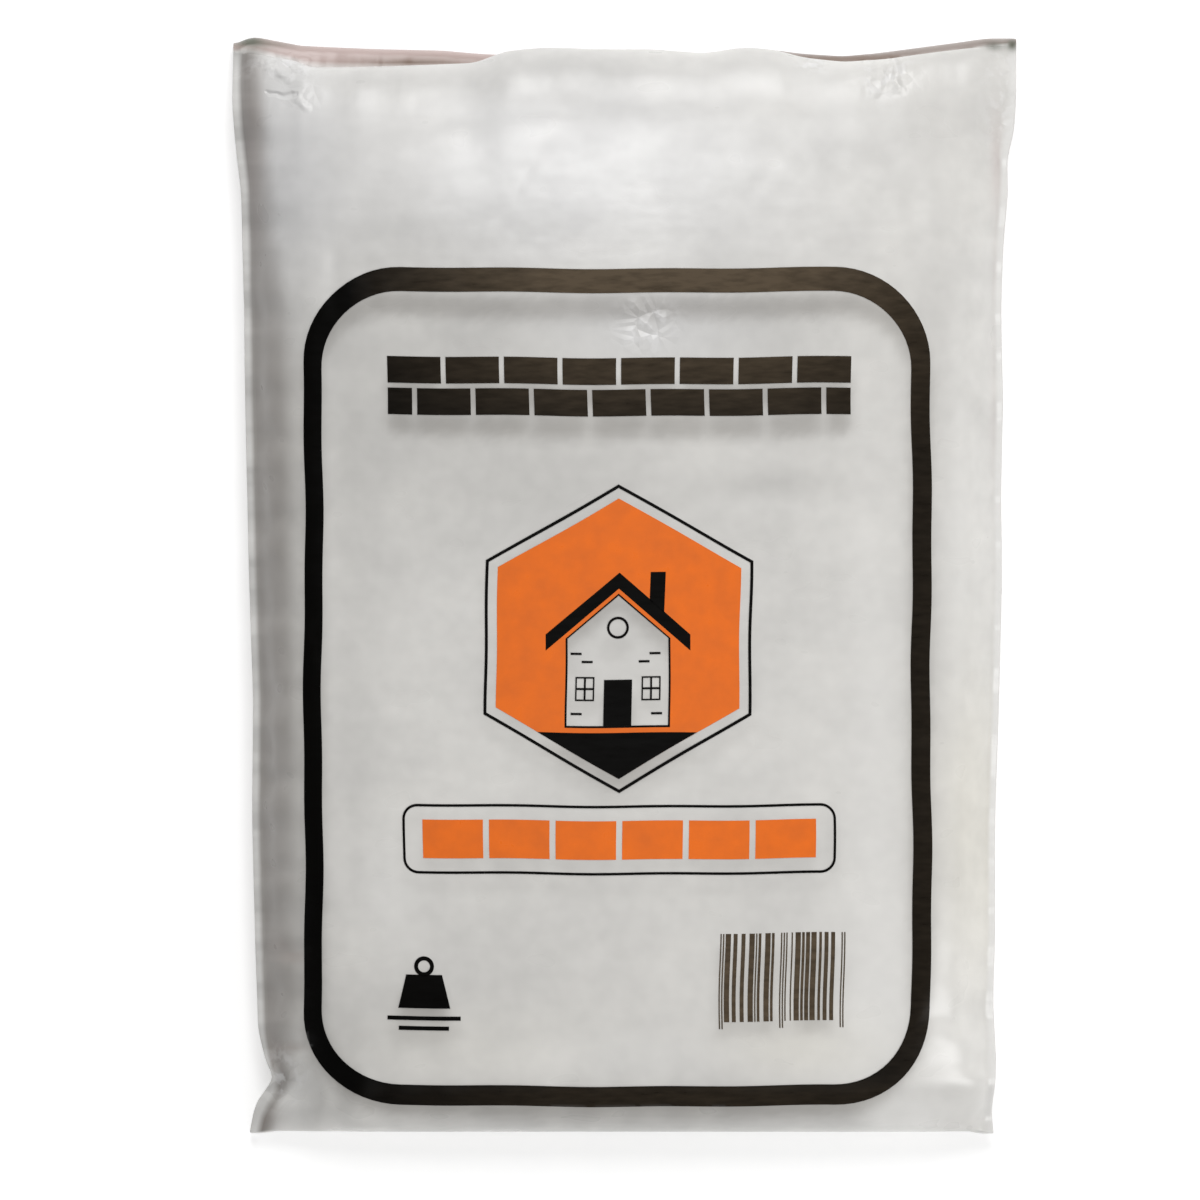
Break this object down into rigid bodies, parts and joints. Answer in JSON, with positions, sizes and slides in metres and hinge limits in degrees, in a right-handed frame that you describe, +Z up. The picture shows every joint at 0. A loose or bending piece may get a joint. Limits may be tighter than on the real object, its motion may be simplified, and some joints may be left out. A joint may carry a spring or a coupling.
{
  "type": "cement bag",
  "caption": "Small film pouch filled tight with cement powder, welded across both ends, lying on its back as a stacked or shelved unit of dry mix.",
  "frame": {"origin": "on the floor under the middle of the bag's bounding box", "axes": "+X across the bag to the right of its printed face, +Y along the bag towards its top seal, +Z up, out of the printed face"},
  "size_m": [0.157, 0.22, 0.0294],
  "materials": {
    "white_film": "satin milky white film, a little translucent over grey powder",
    "black_print": "black printing ink on the film, brownish where it is thin",
    "orange_print": "orange printing ink on the film"
  },
  "bodies": {
    "root": {"filled_bag": "white_film"}
  },
  "joints": []
}
